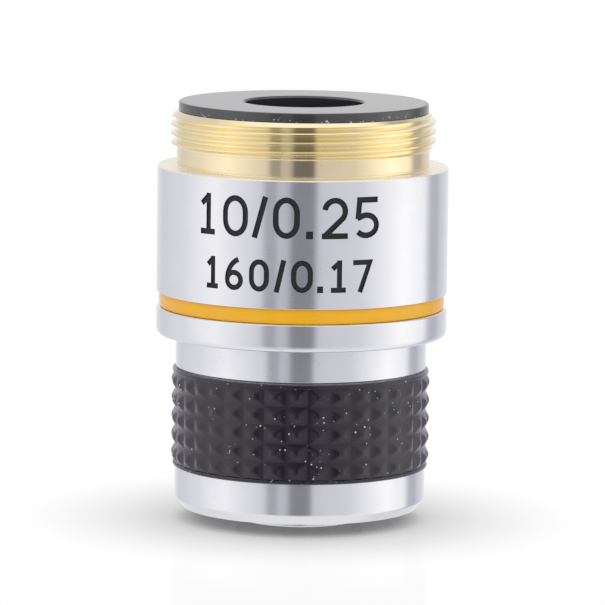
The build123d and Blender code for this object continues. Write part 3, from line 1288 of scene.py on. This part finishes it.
@dataclass
class LowerBarrel(SubAssembly):
    """The plated lower barrel, with its spigot, its seat for the grip and its front wall."""

    bore: float = 7.75
    spigot: float = 8.97
    spigot_top: float = -9.12
    spigot_edge: float = 0.22
    shoulder: float = BARREL_END
    radius: float = 9.585
    seat: float = 8.90
    seat_top: float = -15.44
    seat_bottom: float = GRIP_BOTTOM
    chamfer_top: float = -25.51
    chamfer_radius: float = 9.00
    end: float = -26.25
    nose_hole: float = 4.80
    wall_top: float = -24.95
    edge: float = 0.10

    def section(self) -> list[Corner]:
        """Give the half section.

        Returns:
            The corners in order.
        """
        return [
            Corner(self.bore, self.spigot_top, BROKEN_EDGE),
            Corner(self.spigot, self.spigot_top, self.spigot_edge),
            Corner(self.spigot, self.shoulder),
            Corner(self.radius, self.shoulder),
            Corner(self.radius, self.seat_top, self.edge),
            Corner(self.seat, self.seat_top),
            Corner(self.seat, self.seat_bottom),
            Corner(self.radius, self.seat_bottom, self.edge),
            Corner(self.radius, self.chamfer_top, self.edge),
            Corner(self.chamfer_radius, self.end, SOFT_EDGE),
            Corner(self.nose_hole, self.end, self.edge),
            Corner(self.nose_hole, self.wall_top, BROKEN_EDGE),
            Corner(self.bore, self.wall_top),
        ]

    def model(self) -> Piece:
        """Turn the lower barrel and blacken its bore.

        Returns:
            The lower barrel, in millimetres.
        """
        sleeve = super().model()
        line_bores(sleeve, BLACKENED, self.seat)
        return sleeve


@dataclass
class FrontNose(SubAssembly):
    """The cell of the front lens, whose nose stands below the lower barrel."""

    lens_bore: float = 3.92
    cell_radius: float = 5.98
    nose_radius: float = 4.72
    nose_edge: float = 0.14
    aperture: float = 3.10
    flare: float = 0.35
    cell_seat: float = -23.90
    lens_seat: float = -26.65
    end: float = -27.20

    def section(self) -> list[Corner]:
        """Give the half section, as high as its node.

        Returns:
            The corners in order.
        """
        cell_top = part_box(self.node)[1].z / MILLIMETRE
        return [
            Corner(self.lens_bore, cell_top, CUT_EDGE),
            Corner(self.cell_radius, cell_top, SOFT_EDGE),
            Corner(self.cell_radius, self.cell_seat, BROKEN_EDGE),
            Corner(self.nose_radius, self.cell_seat),
            Corner(self.nose_radius, self.end, self.nose_edge),
            Corner(self.aperture + self.flare, self.end, EASED_EDGE),
            Corner(self.aperture, self.lens_seat, FINE_EDGE),
            Corner(self.lens_bore, self.lens_seat),
        ]


@dataclass
class LensFace(SubAssembly):
    """A lens that is seen from outside, with ground rim and true spherical faces."""

    upper_curve: float
    lower_curve: float
    rim_edge: float = 0.06
    arc_steps: int = 24

    def section(self) -> list[Corner]:
        """Give the half section, inside the node's box.

        Returns:
            The corners in order.
        """
        low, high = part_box(self.node)
        radius = high.x / MILLIMETRE
        upper = self.face(radius, high.z / MILLIMETRE, self.upper_curve, self.upper_curve > 0)
        lower = self.face(radius, low.z / MILLIMETRE, self.lower_curve, self.lower_curve < 0)
        return upper + lower[::-1]

    def face(self, radius: float, reach: float, curve: float, bulges: bool) -> list[Corner]:
        """Give the points of one face, from the axis to the rim.

        Args:
            radius: The lens's radius.
            reach: The height of the face's extreme point, at the axis or at the rim.
            curve: The face's radius of curvature, positive where its middle is its highest point.
            bulges: Whether the extreme point is the one on the axis.

        Returns:
            The corners of the face.
        """
        if curve == 0:
            return [Corner(0.0, reach), Corner(radius, reach, self.rim_edge)]
        outs = [radius * index / self.arc_steps for index in range(self.arc_steps + 1)]
        falls = [math.copysign(abs(curve) - math.sqrt(curve ** 2 - out ** 2), curve) for out in outs]
        apex = reach if bulges else reach + falls[-1]
        return [Corner(out, apex - fall) for out, fall in zip(outs, falls)]


@dataclass
class GripRing(SubAssembly):
    """The moulded grip ring: five rows of soft pyramids between a smooth lip and a narrow foot."""

    columns: int = 36
    rows: int = 5
    set_off: float = -1.4
    bore: float = 8.92
    core: float = 9.46
    valley: float = 9.62
    crest: float = 9.88
    shell: float = 9.25
    lip: float = 9.80
    foot: float = 9.76
    top: float = -15.56
    knurl_top: float = -15.82
    row_height: float = 1.412
    bottom: float = GRIP_BOTTOM
    valley_land: float = 0.04
    crest_land: float = 0.33
    softness: float = 0.15
    soft_segments: int = 3
    overlap: float = 0.02

    def model(self) -> Piece:
        """Model the sleeve of pyramids and join it to its turned core.

        Returns:
            The grip ring, in millimetres.
        """
        knurl = self.repeat_cell(self.model_cell())
        self.close_shell(knurl)
        combine(knurl, turn("grip_core", self.section()), "UNION")
        coat(knurl, *self.finishes)
        return knurl

    def shade(self, piece: Piece) -> None:
        """Smooth the finished ring between its creases."""
        take_up(piece)
        bpy.ops.object.shade_smooth_by_angle(angle=CREASE_ANGLE)

    def section(self) -> list[Corner]:
        """Give the half section of the core, with the lip and the foot.

        Returns:
            The corners in order.
        """
        knurl_bottom = self.knurl_top - self.rows * self.row_height
        return [
            Corner(self.bore, self.bottom, CUT_EDGE),
            Corner(self.bore, self.top, EASED_EDGE),
            Corner(self.lip, self.top, ROUND_EDGE),
            Corner(self.lip, self.knurl_top - self.overlap, EASED_EDGE),
            Corner(self.core, self.knurl_top - self.overlap),
            Corner(self.core, knurl_bottom + self.overlap),
            Corner(self.foot, knurl_bottom + self.overlap, FINE_EDGE),
            Corner(self.foot, self.bottom, EASED_EDGE),
        ]

    def model_cell(self) -> Piece:
        """Model one pyramid of the knurl at the front of the ring.

        Returns:
            The open cell, with its edges in the valleys round it.
        """
        half_step = math.pi / self.columns
        width = 2 * self.valley * math.sin(half_step)
        height = self.row_height
        floor = self.valley * math.cos(half_step)
        middle = self.knurl_top - height / 2
        deselect_all()
        bpy.ops.mesh.primitive_plane_add(size=1.0, location=(0.0, -floor, middle),
                                         rotation=(math.pi / 2, 0.0, 0.0))
        cell = bpy.context.object
        cell.name = cell.data.name = self.name
        cell.scale = (width, height, 1.0)
        bpy.ops.object.transform_apply()
        bpy.ops.object.mode_set(mode="EDIT")
        bpy.ops.mesh.select_all(action="SELECT")
        bpy.ops.mesh.inset(thickness=self.valley_land, depth=0.0)
        run = height / 2 - self.valley_land - self.crest_land / 2
        bpy.ops.mesh.inset(thickness=run, depth=self.crest - floor)
        narrowed = self.crest_land / (width - 2 * self.valley_land - 2 * run)
        bpy.ops.transform.resize(value=(narrowed, 1.0, 1.0), center_override=(0.0, -self.crest, middle))
        rim = floor + MERGE_DISTANCE
        select(cell, Element.EDGES, lambda edge: max(-vertex.co.y for vertex in edge.verts) > rim)
        bpy.ops.mesh.bevel(offset=self.softness, segments=self.soft_segments, affect="EDGES")
        close_mesh()
        return cell

    def repeat_cell(self, cell: Piece) -> Piece:
        """Repeat the cell down its column and round the ring.

        Args:
            cell: One pyramid.

        Returns:
            The knurl as an open sleeve.
        """
        joined = {"use_relative_offset": False, "use_merge_vertices": True,
                  "merge_threshold": MERGE_DISTANCE}
        apply_modifier(cell, "ARRAY", count=self.rows, use_constant_offset=True,
                       constant_offset_displace=(0.0, 0.0, -self.row_height), **joined)
        bpy.ops.object.empty_add(location=ORIGIN, rotation=(0.0, 0.0, math.tau / self.columns))
        pitch = bpy.context.object
        apply_modifier(cell, "ARRAY", count=self.columns, use_object_offset=True, offset_object=pitch,
                       **joined)
        bpy.data.objects.remove(pitch)
        take_up(cell)
        cell.rotation_euler.z = math.radians(self.set_off)
        bpy.ops.object.transform_apply()
        return cell

    def close_shell(self, knurl: Piece) -> None:
        """Give the sleeve of pyramids its ends and its inner wall.

        Args:
            knurl: The open sleeve.
        """
        open_mesh(knurl)
        merge_doubles()
        select(knurl, Element.EDGES, lambda edge: edge.is_boundary)
        bpy.ops.mesh.extrude_region_move()
        inward = self.shell / self.valley
        bpy.ops.transform.resize(value=(inward, inward, 1.0), center_override=ORIGIN)
        bpy.ops.mesh.bridge_edge_loops()
        face_outwards()
        close_mesh()


@dataclass(frozen=True)
class Panel:
    """A stretch of the light tent, by azimuth in degrees from the camera's side to the right."""

    start: float
    stop: float
    start_level: float
    stop_level: float


@dataclass
class Studio:
    """A light tent round the objective, a pale floor under it with a painted contact shadow, and the
    camera.
    """

    panels: tuple[Panel, ...] = (
        Panel(-180, -146, 0.92, 0.68),
        Panel(-142, -104, 0.68, 0.81),
        Panel(-100, -72, 0.87, 1.03),
        Panel(-68, -33, 0.99, 0.68),
        Panel(-28, -21, 0.34, 0.34),
        Panel(-19, -12, 0.53, 0.50),
        Panel(-7, 9, 0.165, 0.165),
        Panel(13, 48, 0.61, 0.71),
        Panel(52, 84, 0.77, 1.15),
        Panel(88, 112, 1.17, 1.02),
        Panel(122, 133, 0.48, 0.46),
        Panel(140, 180, 0.62, 0.95),
    )
    ceiling_level: float = 1.05
    ceiling_span: Pair = (0.72, 0.95)
    ground_level: float = 0.88
    ground_span: Pair = (-0.20, -0.98)
    shade_blue: float = 0.20
    # Reach, darkest level and samples of the painted contact shadow on the floor.
    painted_shadow_reach: float = 12.0
    painted_shadow_darkest: float = 0.13
    painted_shadow_samples: int = 8
    floor_level: float = 0.80
    floor_gloss: float = 0.05
    floor_roughness: float = 0.12
    floor_height: float = -27.22
    floor_size: float = 1600.0
    camera_distance: float = 399.46
    camera_elevation: float = 7.65
    camera_roll: float = 0.70
    aim_height: float = -10.58
    lens: float = 310.7
    sensor: float = 36.0
    shift: float = 0.0017

    def build(self) -> None:
        """Set up the tent, the floor, the camera and the view."""
        self.pitch_tent()
        self.lay_floor()
        self.place_camera()
        bpy.context.scene.view_settings.view_transform = "Standard"

    def pitch_tent(self) -> None:
        """Make the world plain white, and for gloss a tent of soft panels with a camera slot."""
        scene = bpy.context.scene
        world = scene.world or bpy.data.worlds.new("tent")
        scene.world = world
        world.use_nodes = True
        world.node_tree.nodes.clear()
        graph = NodeGraph(world.node_tree)
        direction = graph.add("TexCoord").outputs["Generated"]
        parts = graph.add("SeparateXYZ", Vector=direction).outputs
        toward_camera = graph.math("MULTIPLY", parts["Y"], -1.0)
        azimuth = graph.math("ARCTAN2", parts["X"], toward_camera)
        walls = self.wall_ramp(graph, graph.ranged(azimuth, -math.pi, math.pi))
        ceiling = (self.ceiling_level,) * 3
        ground = (self.ground_level,) * 3
        roofed = graph.blend(graph.ranged(parts["Z"], *self.ceiling_span), walls, ceiling)
        closed = graph.blend(graph.ranged(parts["Z"], *self.ground_span), roofed, ground)
        tent = graph.add("Background", Color=closed).outputs[0]
        plain = graph.add("Background", Color=WHITE).outputs[0]
        glossy = graph.add("LightPath").outputs["Is Glossy Ray"]
        graph.add("OutputWorld", Surface=graph.mix(glossy, plain, tent))
        world.cycles.sampling_method = "NONE"

    def wall_ramp(self, graph: NodeGraph, factor: Socket) -> Socket:
        """Lay the panels round the azimuth in a colour ramp.

        Args:
            graph: The world's nodes.
            factor: The azimuth, from 0 at the back over the camera's side to 1.

        Returns:
            The colour of the walls.
        """
        node = graph.add("ValToRGB", Fac=factor)
        stops = [(panel.start, panel.start_level) for panel in self.panels]
        stops += [(panel.stop, panel.stop_level) for panel in self.panels]
        elements = node.color_ramp.elements
        for azimuth, level in sorted(stops)[1:-1]:
            elements.new((azimuth + 180) / 360).color = self.panel_colour(level)
        elements[0].color = self.panel_colour(self.panels[0].start_level)
        elements[-1].color = self.panel_colour(self.panels[-1].stop_level)
        return node.outputs["Color"]

    def panel_colour(self, level: float) -> tuple[float, float, float, float]:
        """Give a panel's colour, which turns a little blue where it is in shade."""
        return level, level, level * (1 + self.shade_blue * (1 - level)), 1.0

    def lay_floor(self) -> None:
        """Lay the pale floor, with its faint gloss and a painted contact shadow. Metal sees the tent's
        panels in its place.
        """
        deselect_all()
        bpy.ops.mesh.primitive_plane_add(size=self.floor_size * MILLIMETRE,
                                         location=(0.0, 0.0, self.floor_height * MILLIMETRE))
        floor = bpy.context.object
        floor.name = "studio_floor"
        bpy.ops.object.transform_apply()
        floor.visible_glossy = False
        material = bpy.data.materials.new("pale_floor_painted_shadow")
        material.use_nodes = True
        material.node_tree.nodes.clear()
        graph = NodeGraph(material.node_tree)
        matt = graph.add("BsdfDiffuse", Color=(self.floor_level,) * 3).outputs[0]
        # Painted shadow: to the camera the floor glows, and ambient occlusion darkens the glow near the
        # objective.
        reach = self.painted_shadow_reach * MILLIMETRE
        painted_shadow_occlusion = graph.add("AmbientOcclusion", Distance=reach, samples=self.painted_shadow_samples)
        painted_shadow_tone = graph.ranged(painted_shadow_occlusion.outputs["AO"], 0.0, 1.0, to_low=self.painted_shadow_darkest)
        glow_with_painted_shadow = graph.add("Emission", Color=painted_shadow_tone).outputs[0]
        seen = graph.add("LightPath").outputs["Is Camera Ray"]
        gloss = graph.add("BsdfGlossy", Roughness=self.floor_roughness, Color=WHITE).outputs[0]
        surface = graph.mix(self.floor_gloss, graph.mix(seen, matt, glow_with_painted_shadow), gloss)
        graph.add("OutputMaterial", Surface=surface)
        floor.data.materials.append(material)

    def place_camera(self) -> None:
        """Stand the camera at the photograph's angle, with the objective leaning a little right."""
        data = bpy.data.cameras.new("camera")
        data.lens = self.lens
        data.sensor_width = self.sensor
        data.shift_x = self.shift
        camera = bpy.data.objects.new("camera", data)
        bpy.context.scene.collection.objects.link(camera)
        elevation = math.radians(self.camera_elevation)
        distance = self.camera_distance * MILLIMETRE
        camera.location = (0.0, -distance * math.cos(elevation),
                           self.aim_height * MILLIMETRE + distance * math.sin(elevation))
        facing = Matrix.Rotation(math.pi / 2 - elevation, 3, "X")
        leaning = facing @ Matrix.Rotation(math.radians(self.camera_roll), 3, "Z")
        camera.rotation_euler = leaning.to_euler()
        bpy.context.scene.camera = camera


def dress_frame(nodes: dict[str, Piece]) -> None:
    """Give the CAD nodes that stay their materials.

    Args:
        nodes: The frame's node objects by name.
    """
    for finish, names in NODE_FINISHES.items():
        for name in names:
            node = nodes[name]
            if not node.material_slots:
                node.data.materials.append(finish.material())
            for slot in node.material_slots:
                slot.material = finish.material()
            LOG.info("%s keeps its shape in %s", name, finish.name)


def main() -> None:
    """Load the frame, build the pieces in order, and set up the studio."""
    logging.basicConfig(level=logging.INFO, format="%(relativeCreated)6d ms  %(message)s")
    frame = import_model()
    turned = (SATIN_PLATE, BRIGHT_BRASS, SHOULDER_FACE_AND_HIGHLIGHT, BLACKENED)
    for assembly in (
        Barrel("barrel", "body_shell", Slot.PLATED_BARREL, turned),
        ColourBand("yellow_band", "colour_band", Slot.BAND_ENAMEL, (YELLOW_BAND,)),
        RearDisc("rear_disc", "rear_baffle", Slot.BLACK_ANODISED, (BLACK_DISC,)),
        LowerBarrel("lower_barrel", "nose_sleeve", Slot.PLATED_SLEEVE, (SATIN_PLATE, BLACKENED)),
        FrontNose("front_nose", "front_cell", Slot.NOSE_PLATE, (NOSE_METAL,)),
        LensFace("front_lens", "front_flint_lens", Slot.FLINT_GLASS, (FLINT_GLASS,), -8.20, 0.0),
        LensFace("rear_lens", "rear_crown_lens", Slot.CROWN_GLASS, (CROWN_GLASS,), 16.00, -10.50),
        GripRing("grip_ring_knurl", "grip_ring", Slot.GRIP_RUBBER, (KNURL_RUBBER,)),
    ):
        assembly.build()
    dress_frame(frame["nodes"])
    Studio().build()


if __name__ == "__main__":
    main()
